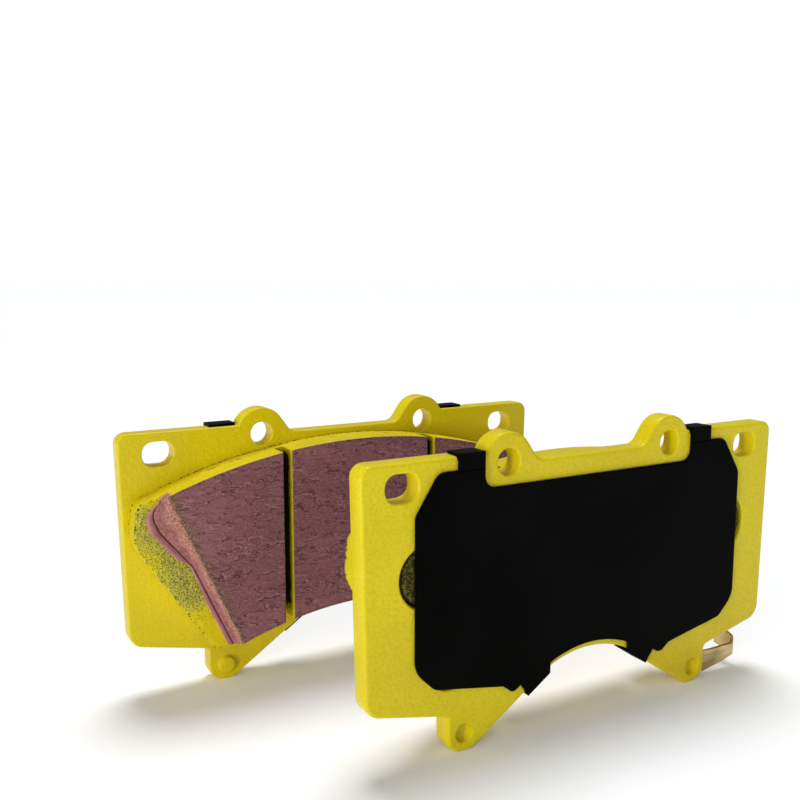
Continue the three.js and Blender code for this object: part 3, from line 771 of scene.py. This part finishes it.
# Below the chamfer's belly: cut in from the end, share of the flash's width out, and drop.
CREASE_AND_FLASH = [(0.3, 0, 0), (0.25, 0, 0.4), (0.05, 0, 0.45), (0, 0.1, 0.12), (0, 0.3, 0),
                    (0, 0.6, 0), (0, 0.82, 0.1), (0, 0.95, 0.3), (0, 1, 0.6), (0, 1.02, 0.95),
                    (0, 1.15, 1.3)]


def end_ring(inset, clip, height, bulge=0.0):
    """The block's outline moved in by inset, cut off at clip in from the sloping end, and pushed out
    there by bulge, at one height."""
    flat = BLOCK_OUTLINE - outward(BLOCK_OUTLINE) * inset
    depth = from_end(*flat.T)
    flat = flat + END_IN * np.maximum(clip - depth, 0)[:, None]
    flat = flat - END_IN * (bulge * ramp(depth, 1.4, 0.2))[:, None]
    return np.dstack([flat[:, 0], np.broadcast_to(height, len(flat)), flat[:, 1]])[0]


def raised_rings():
    """Down the raised block's wall. On the end, the chamfer is cut less with each ring and pushed out
    more by its belly, and then come the crease and the flash. The other sides drop evenly."""
    up = along_end(*BLOCK_OUTLINE.T)
    belly, flash = lobe(up), flash_width(up)
    rings = []
    for height in np.linspace(BLOCK_TOP, CHAMFER_FOOT + 0.1, 11):
        cut = (height - CHAMFER_FOOT) * CHAMFER_WIDTH / CHAMFER_HEIGHT
        share = (BLOCK_TOP - height) / (BLOCK_TOP - CHAMFER_FOOT)
        rings.append(end_ring(0, cut, height, belly * share))
    even_drops = np.linspace(0, CHAMFER_FOOT - SHOULDER_TOP, len(CREASE_AND_FLASH))
    for (cut, share, drop), even_drop in zip(CREASE_AND_FLASH, even_drops):
        height = CHAMFER_FOOT - drop * AT_END - even_drop * (1 - AT_END)
        rings.append(end_ring(0, cut, height, belly + flash * share))
    return np.stack(rings)


def shoulder_rings(foot):
    """In straight lines from the raised block's foot to the moulding's rim, with grain that stands up
    between the two, then over the rim's eased edge and down the wall to the underlayer."""
    ease = 0.45 * ramp(APART, 0.0, 2.0)
    out = outward(MOULD_OUTLINE)
    rim = MOULD_OUTLINE - out * ease[:, None]
    share = np.linspace(0, 1, 48)[1:, None, None]
    flat = foot[None][..., [0, 2]] * (1 - share) + rim[None] * share
    share, x, z = share[..., 0], flat[..., 0], flat[..., 1]
    rough = 0.10 * lumps(x, z, 1.1, 7) + 0.05 * lumps(x, z, 0.6, 8)
    rough = rough * ramp(APART, 0.5, 3.0) * np.sin(np.pi * share) ** 0.5
    rough = rough * (0.25 + grain_mark(x, SHOULDER_TOP, z)) - 0.25 * ramp(share, 0.7, 1) * ease
    across = np.dstack([x, SHOULDER_TOP + rough, z])
    turn = np.linspace(0, np.pi / 2, 5)[1:, None]
    over = MOULD_OUTLINE[None] - out[None] * (ease * (1 - np.sin(turn)))[..., None]
    edge = np.dstack([over[..., 0], SHOULDER_TOP - ease * (0.25 + 1 - np.cos(turn)), over[..., 1]])
    wall = [np.insert(MOULD_OUTLINE, 1, height, axis=1) for height in (11.0, 10.2, UNDERLAYER_TOP)]
    return np.concatenate([across, edge, np.stack(wall)])


def end_block(side):
    """From the top's middle out, down the raised block's wall, across the shoulder and down to the
    underside's middle."""
    skin = Skin()
    raised = raised_rings()
    shoulder = shoulder_rings(raised[-1])
    skin.rings(np.concatenate([towards(raised[0], (0, 0.5, 1), BLOCK_TOP), raised[1:], shoulder,
                               towards(shoulder[-1], (0.5, 0), UNDERLAYER_TOP)]))
    skin.points[0][:, 0] *= side
    return skin


for name, side in (("left", -1), ("right", 1)):
    make(f"friction_block_{name}", end_block(side), MOULD_FINISH, MOULD_MARKS)


# ---- Middle block -------------------------------------------------------------------------
# The middle third of the friction material, between the two moulded grooves. Its walls are
# painted like the plate, except inside the grooves, where painted shade darkens them with depth.

MIDDLE_HALF = GROOVE_X - GROOVE_WIDTH / 2
MIDDLE_OUTLINE = even(rounded(both_sides([*arc(SWEPT_INNER, DISC_CENTRE, 0, MIDDLE_HALF),
                                          *arc(DISC_RADIUS, DISC_CENTRE, MIDDLE_HALF, 0)])), 0.5)


def middle_block():
    """A plain wall round the outline, closed at the top and underside by rings shrunk to a point."""
    skin = Skin()
    wall = carried(MIDDLE_OUTLINE, [(0, h) for h in np.linspace(BLOCK_TOP, UNDERLAYER_TOP, 12)])
    skin.rings(np.concatenate([towards(wall[0], (0, 0.5), BLOCK_TOP), wall,
                               towards(wall[-1], (0.5, 0), UNDERLAYER_TOP)]))
    return skin


make("friction_block_middle", middle_block(), MOULD_FINISH, MOULD_MARKS)


# ---- Bedding coats ------------------------------------------------------------------------
# A thin maroon abrasive coat on each friction face. It is rolled on, which leaves fine level
# ripples with small tears, and pale grit shows in it.


def coat_skin(rim_rings, side=1):
    """The rim's rings, then rings shrunk to the middle of the face, which ripple: level waves bent
    by a slow drift in X, with a finer unevenness, fading at the rim."""
    skin = Skin()
    shares = np.linspace(1, 0, 66)[1:]
    face = towards(rim_rings[-1], shares, FACE)
    x, z = face[..., 0], face[..., 2]
    waves = np.sin(2 * np.pi * (z + 0.9 * lumps(x, z, 9, 21)) / 2.3)
    face[..., 1] += (0.035 * waves + 0.03 * lumps(x, z, 1.5, 22)) * ramp(shares, 1.0, 0.94)[:, None]
    under = towards(rim_rings[0], (0, 0.5), BLOCK_TOP)
    skin.rings(np.concatenate([under, rim_rings, face]))
    skin.points[0][:, 0] *= side
    return skin


def rim_mark(x, y, z):
    """How near a point is to the rim of its face, where the coat is thin."""
    width = np.abs(np.abs(x) - GROOVE_X) - GROOVE_WIDTH / 2
    high = swept(DISC_RADIUS, np.clip(x, -70, 70)) - z
    low = z - swept(SWEPT_INNER, np.clip(x, -70, 70))
    end = from_end(x, z) - CHAMFER_WIDTH
    nearest = np.minimum(np.minimum(width, high), np.minimum(low, end))
    return ramp(nearest, 1.6, 0.0)


def end_rim_mark(x, y, z):
    """How near a point is to the chamfer, in a band that is wider further up."""
    return ramp(from_end(x, z) - CHAMFER_WIDTH, 1.6 + 1.8 * ramp(z, 15, 50), 0.0)


def bedding_finish():
    """Maroon, with level dark tears beside a painted highlight along their raised lips, pale grit, and a
    greyer rim that is flecked with buff beside the chamfer."""
    coat = Finish("bedding_coat", specular_ior_level=0.2)
    cloud = coat.noise(0.008, 3, (0.6, 1, 1.4))
    grit = coat.noise(0.0004, 3, roughness=0.7)
    colour = coat.mix(cloud.step(0.3, 0.7), shade(136, 90, 93), shade(122, 79, 82))
    colour = coat.mix(grit.step(0.48, 0.68) * 0.45, colour, shade(160, 114, 116))
    fold = coat.noise(0.0018, 3, (0.40, 1, 1.2), 0.62)
    spread = coat.noise(0.0013, 2, (0.6, 1, 1.2))
    torn = (fold @ 0.5).step(0.020, 0.003) * spread.step(0.44, 0.56)
    cross = coat.noise(0.0030, 2, (0.8, 1, 0.9), 0.6)
    torn = torn + (cross @ 0.48).step(0.016, 0.003) * coat.noise(0.0024, 2).step(0.52, 0.62) * 0.7
    colour = coat.mix(torn * 0.85, colour, shade(84, 50, 52))
    # A painted highlight: a pale line along the raised side of each tear.
    painted_lip_highlight = (fold @ 0.545).step(0.024, 0.004) * spread.step(0.42, 0.55)
    colour = coat.mix(painted_lip_highlight * 0.45, colour, shade(176, 132, 132))
    colour = coat.mix(coat.noise(0.0006, 2).step(0.36, 0.28) * 0.6, colour, shade(84, 52, 54))
    flecks = coat.mix(grit.step(0.42, 0.6), shade(98, 68, 62), shade(146, 114, 92))
    end = (coat.mark("end_rim") + (grit - 0.5) * 1.6).step(0.35, 1.0)
    colour = coat.mix(end * 0.8, colour, flecks)
    colour = coat.mix(coat.mark("rim") * (0.6 - grit).step(0.0, 0.2) * 0.35, colour, shade(92, 66, 58))
    wrinkle = coat.bump(fold - torn * 0.12, 0.0014)
    fine = coat.bump(grit, 0.00015, wrinkle)
    return coat.wear(base_color=colour, roughness=0.70 + grit * 0.25, normal=fine)


COAT_FINISH = bedding_finish()
COAT_MARKS = {"rim": rim_mark, "end_rim": end_rim_mark}


def ragged(outline, seed):
    """A rim that isn't quite straight: small seeded nicks, in millimetres."""
    return 0.05 + 0.05 * lumps(*outline.T, 2.2, seed)


# Inset, cut in from the chamfer's end, height, and share of the nicks.
END_RIMS = [(0.0, 2.15, BLOCK_TOP, 0), (0.0, 2.25, BLOCK_TOP + 0.1, 1), (0.06, 2.35, FACE - 0.06, 1),
            (0.2, 2.6, FACE, 1)]
nicks = ragged(BLOCK_OUTLINE, 31)[:, None]
end_rims = [end_ring(inset + nicks * share, cut, height) for inset, cut, height, share in END_RIMS]
middle_rims = carried(MIDDLE_OUTLINE, [(0.0, BLOCK_TOP), (0.03, BLOCK_TOP + 0.12), (0.1, FACE - 0.05),
                                       (0.3, FACE)])
for name, rims, side in (("left", np.stack(end_rims), -1), ("right", np.stack(end_rims), 1),
                         ("middle", middle_rims, 1)):
    make(f"bedding_coat_{name}", coat_skin(rims, side), COAT_FINISH, COAT_MARKS)


# ---- Noise shim ---------------------------------------------------------------------------
# Thin steel sheet, glued to the plate's back and faced with black rubber. Two tabs fold over
# the plate's top edge and two over the edges of the feet, and hold it there.

GLUE, STEEL, RUBBER = 0.2, 0.6, 0.3
STEEL_BACK = -GLUE - STEEL
RUBBER_BACK = STEEL_BACK - RUBBER
SHIM_HALF = HALF_WIDTH - 13.6
TAB_WIDTH, TAB_GAP, TAB_END = 7.4, 0.15, PLATE_THICKNESS - 0.9
TAB_X = LOOP_X + math.sqrt(LOOP_RADIUS**2 - EAR_RISE**2) + 0.6
ARCH_END = ARCH_CENTRE + math.sqrt(ARCH_RADIUS**2 - ARCH_HALF**2)
FOOT_SLOPE = math.atan2(ARCH_END, FOOT_INNER - ARCH_HALF)
LOW_TAB, LOW_TAB_WIDTH = 0.5, 8.1  # from the arch's end, along the foot's inner edge
RELIEF, RELIEF_WIDTH, RELIEF_RADIUS = 3.5, 2.9, 1.6


def beside_foot(along, off):
    """A point by the foot's inner edge: along it from the arch's end, and off it into the plate."""
    return (ARCH_HALF + along * math.cos(FOOT_SLOPE) + off * math.sin(FOOT_SLOPE),
            ARCH_END - along * math.sin(FOOT_SLOPE) + off * math.cos(FOOT_SLOPE))


def shim_corners(inset, tabs):
    """The sheet's outline moved in by inset. With tabs, it runs on to their fold lines."""
    low_end = LOW_TAB + LOW_TAB_WIDTH - inset
    side, shoulder = SHIM_HALF - inset, HOLE_LINE - 0.4 - inset
    low_off = -TAB_GAP - STEEL if tabs else 1.5 + inset
    tab_left = TAB_X + inset
    tab = [(TAB_X + TAB_WIDTH, shoulder, 0.3), (TAB_X + TAB_WIDTH, EAR_TOP + TAB_GAP + STEEL),
           (TAB_X, EAR_TOP + TAB_GAP + STEEL)] if tabs else [(tab_left, shoulder)]
    return both_sides([
        *arc(ARCH_RADIUS + 1.7 + inset, ARCH_CENTRE, 0, ARCH_HALF),
        beside_foot(LOW_TAB + inset, low_off),
        beside_foot(low_end, low_off),
        (*beside_foot(low_end, RELIEF + inset), RELIEF_RADIUS / 3),
        (*beside_foot(low_end + inset + RELIEF_WIDTH, RELIEF + inset), RELIEF_RADIUS),
        (*beside_foot(low_end + inset + 1.4 * RELIEF_WIDTH, 2 * RELIEF + inset), RELIEF_RADIUS),
        (side - 5.2, NOTCH + 8.0 + inset, 3.0),
        (side, NOTCH + 13.2 + inset, 6.5),
        (side, shoulder - 9.6, 3.0),
        (TAB_X + TAB_WIDTH + 5.2 - inset, shoulder, 3.0),
        *tab,
        (tab_left, HOLE_LINE - 5.4 - inset, 3.0),
        (0, HOLE_LINE - 5.4 - inset),
    ])


def sheet_skin(corners, low, high, low_round, high_round):
    """A flat sheet: an eased edge carried round its outline, and two flat faces."""
    skin = Skin()
    ring = carried(even(rounded(corners), 0.5), eased_edge(low, high, low_round, high_round, 0.05, 4))
    skin.rings(ring)
    skin.fill([ring[0]], low)
    skin.fill([ring[-1]], high)
    return skin


def tab_fold(edge):
    """A fold's section in Y and Z: it comes up past the plate's edge, bends and runs on over it."""
    inner, outer = edge + TAB_GAP, edge + TAB_GAP + STEEL
    root = inner - 1.2
    section = [(STEEL_BACK + 0.02, root), (-GLUE - 0.02, root), (-GLUE - 0.02, inner - 0.1, 0.1),
               (TAB_END, inner), (TAB_END, outer, 0.2), (STEEL_BACK + 0.02, outer + 0.02, 0.75)]
    return even(rounded(section, 6), 0.4)


def add_fold(skin, edge, width, spot, along):
    """A fold's section carried from one end of the tab to the other, with both ends closed; spot and
    along give the tab's middle and its direction in X and Z."""
    section = tab_fold(edge)
    middle = section.mean(0)
    length = np.array([-0.5, -0.5, -0.5, -0.485, -0.46, 0.46, 0.485, 0.5, 0.5, 0.5])
    shrink = np.array([0, 0.5, 0.93, 0.98, 1, 1, 0.98, 0.93, 0.5, 0])[:, None, None]
    shape = middle + (section[None] - middle) * shrink
    up = np.array([-along[1], along[0]])
    path = np.array(spot) + np.array(along) * (length * width)[:, None]
    x = path[:, :1] + up[0] * shape[..., 1]
    z = path[:, 1:] + up[1] * shape[..., 1]
    skin.rings(np.dstack([x, shape[..., 0], z]))


def shim_steel():
    """The flat sheet with its four folds."""
    skin = sheet_skin(shim_corners(0, True), STEEL_BACK, -GLUE, 0.15, 0.1)
    x, z = beside_foot(LOW_TAB + LOW_TAB_WIDTH / 2, 0)
    for side in (-1, 1):
        add_fold(skin, EAR_TOP, TAB_WIDTH, (side * (TAB_X + TAB_WIDTH / 2), 0), (1, 0))
        foot_edge = (-math.cos(FOOT_SLOPE), side * math.sin(FOOT_SLOPE))
        add_fold(skin, 0.0, LOW_TAB_WIDTH, (side * x, z), foot_edge)
    return skin


def black_finish(name, tint, roughness):
    """Satin black with a faint cloud in its gloss and a fine leathery grain."""
    coat = Finish(name, specular_ior_level=0.02)
    cloud = coat.noise(0.018, 4)
    fine = coat.noise(0.0007, 2)
    colour = coat.mix(cloud.step(0.3, 0.7), shade(*tint), shade(*(np.array(tint) + 5)))
    return coat.wear(base_color=colour, roughness=roughness + cloud * 0.15,
                     normal=coat.bump(fine, 0.00002, coat.bump(cloud, 0.0003)))


make("shim_steel", shim_steel(), black_finish("shim_steel", (4, 4, 3), 0.34))
make("shim_rubber", sheet_skin(shim_corners(0.25, False), RUBBER_BACK, STEEL_BACK, 0.12, 0.02),
     black_finish("shim_rubber", (3, 3, 2), 0.42))
glue = Finish("shim_glue", roughness=0.5)
film_colour = glue.mix(glue.noise(0.004), shade(88, 86, 80), shade(110, 106, 96))
make("shim_glue_film", sheet_skin(shim_corners(1.4, False), -GLUE, 0, 0.02, 0.02),
     glue.wear(base_color=film_colour))


# ---- Wear indicator -----------------------------------------------------------------------
# A strip of brass-plated spring steel, staked on one foot of the front pad. It passes the foot,
# bends in to the plate's middle plane, runs out sideways and turns up towards the disc.

STRIP = 0.9
STRIP_START, STRIP_BEND, STRIP_END = FOOT_INNER - 1.6, FOOT_OUTER + 1.1, FOOT_OUTER + 15.4
STRIP_BACK = PLATE_THICKNESS - 3.5
STRIP_TIP = PLATE_THICKNESS + 3.7
STRIP_LOW, STRIP_HIGH, STAKE_HIGH, TIP_HIGH = 0.8, 6.8, 8.2, 10.2
STAKE_END = FOOT_OUTER - 0.6


def add_staked_end(skin):
    """The strip's flat end on the foot, with the hole that takes the plate's boss."""
    low, high = PLATE_THICKNESS, PLATE_THICKNESS + STRIP
    outline = even(rounded([(STRIP_START, STRIP_LOW, 2.0), (STAKE_END, STRIP_LOW),
                            (STAKE_END, STAKE_HIGH), (STRIP_START, STAKE_HIGH, 2.0)]), 0.3)
    rim = carried(outline, eased_edge(low, high, 0.1, 0.15, 0.03, 3))
    wall = [(2.7, low), (2.6, low + 0.1), (2.6, high - 0.1), (2.7, high)]
    hole = turned(DIMPLE_X, DIMPLE_Z, wall, 64)
    skin.rings(rim)
    skin.rings(hole)
    skin.fill([rim[0], hole[0]], low)
    skin.fill([rim[-1], hole[-1]], high)


def wear_indicator():
    """A rounded section carried along the strip's bent plan, which starts inside the staked end; its
    lower and upper edges are heights that depend on the distance along the plan."""
    half = STRIP / 2
    start = STAKE_END - 0.3
    plan = [(start, PLATE_THICKNESS + half, 0), (STRIP_BEND + half, PLATE_THICKNESS + half, 0.75),
            (STRIP_BEND + half, STRIP_BACK + half, 0.75), (STRIP_END - half, STRIP_BACK + half, 1.15),
            (STRIP_END - half, STRIP_TIP, 0)]
    path = rounded([*plan, (STRIP_END - half, STRIP_TIP + 9), (start, STRIP_TIP + 9)], 10)
    path = between(even(path, 0.2), plan[0][:2], plan[-1][:2], 140)
    step = np.gradient(path, axis=0)
    step /= np.linalg.norm(step, axis=1)[:, None]
    across = np.stack([-step[:, 1], step[:, 0]], 1)
    reached = np.append(0, np.cumsum(np.linalg.norm(np.diff(path, axis=0), axis=1)))
    total = reached[-1]
    stake = STRIP_BEND - start
    arm = stake + (PLATE_THICKNESS - STRIP_BACK)
    tip = total - (STRIP_TIP - STRIP_BACK)
    low = np.interp(reached, [0, arm, tip - 4, tip, total], [STRIP_LOW, STRIP_LOW, 2.1, 3.2, 4.4])
    high = np.interp(reached, [0, stake, arm - 0.5, arm + 2, tip - 0.3, tip + 1.0, total - 2.1, total],
                     [STAKE_HIGH, STAKE_HIGH, 7.2, STRIP_HIGH, STRIP_HIGH, 8.6, TIP_HIGH, STRIP_HIGH - 1.6])
    turn = np.linspace(0, 2 * np.pi, 40, endpoint=False)
    slim = 1 - 0.03 * ramp(reached, 0.6, 0.2)
    wide = np.sign(np.cos(turn)) * np.abs(np.cos(turn)) ** 0.22 * half * slim[:, None]
    tall = np.sign(np.sin(turn)) * np.abs(np.sin(turn)) ** 0.22 * slim[:, None]
    x = path[:, :1] + across[:, :1] * wide
    y = path[:, 1:] + across[:, 1:] * wide
    z = ((low + high) / 2)[:, None] + ((high - low) / 2)[:, None] * tall
    grid = np.dstack([x, y, z])
    ends = [np.broadcast_to(grid[k].mean(0), grid[k].shape) for k in (0, -1)]
    skin = Skin()
    skin.rings(np.concatenate([ends[0][None], grid, ends[1][None]]))
    add_staked_end(skin)
    return skin


def brushed_finish():
    """Brass-plated spring steel, drawn lengthways, with a little tarnish."""
    metal = Finish("spring_steel", metallic=1.0)
    drawn = metal.noise(0.0007, 3, (0.12, 0.12, 1.6))
    cloud = metal.noise(0.004, 3)
    colour = metal.mix(cloud.step(0.3, 0.7), shade(214, 194, 142), shade(176, 152, 102))
    colour = metal.mix(drawn.step(0.45, 0.7) * 0.35, colour, shade(132, 110, 70))
    return metal.wear(base_color=colour, roughness=0.26 + drawn * 0.22, normal=metal.bump(drawn, 0.00005))


make("wear_indicator", wear_indicator(), brushed_finish(), pads=("front",))


# ---- Floor finish -------------------------------------------------------------------------
# Matt white paper. A trace of light of its own lets it run into the backdrop without a line.

paper = Finish("white_paper", roughness=0.9, specular_ior_level=0.1, emission_color=(1, 1, 1, 1),
               emission_strength=0.06)
whites = paper.mix(paper.noise(0.2), (0.93, 0.93, 0.94), (0.95, 0.95, 0.96))
floor.data.materials.append(paper.wear(base_color=whites))
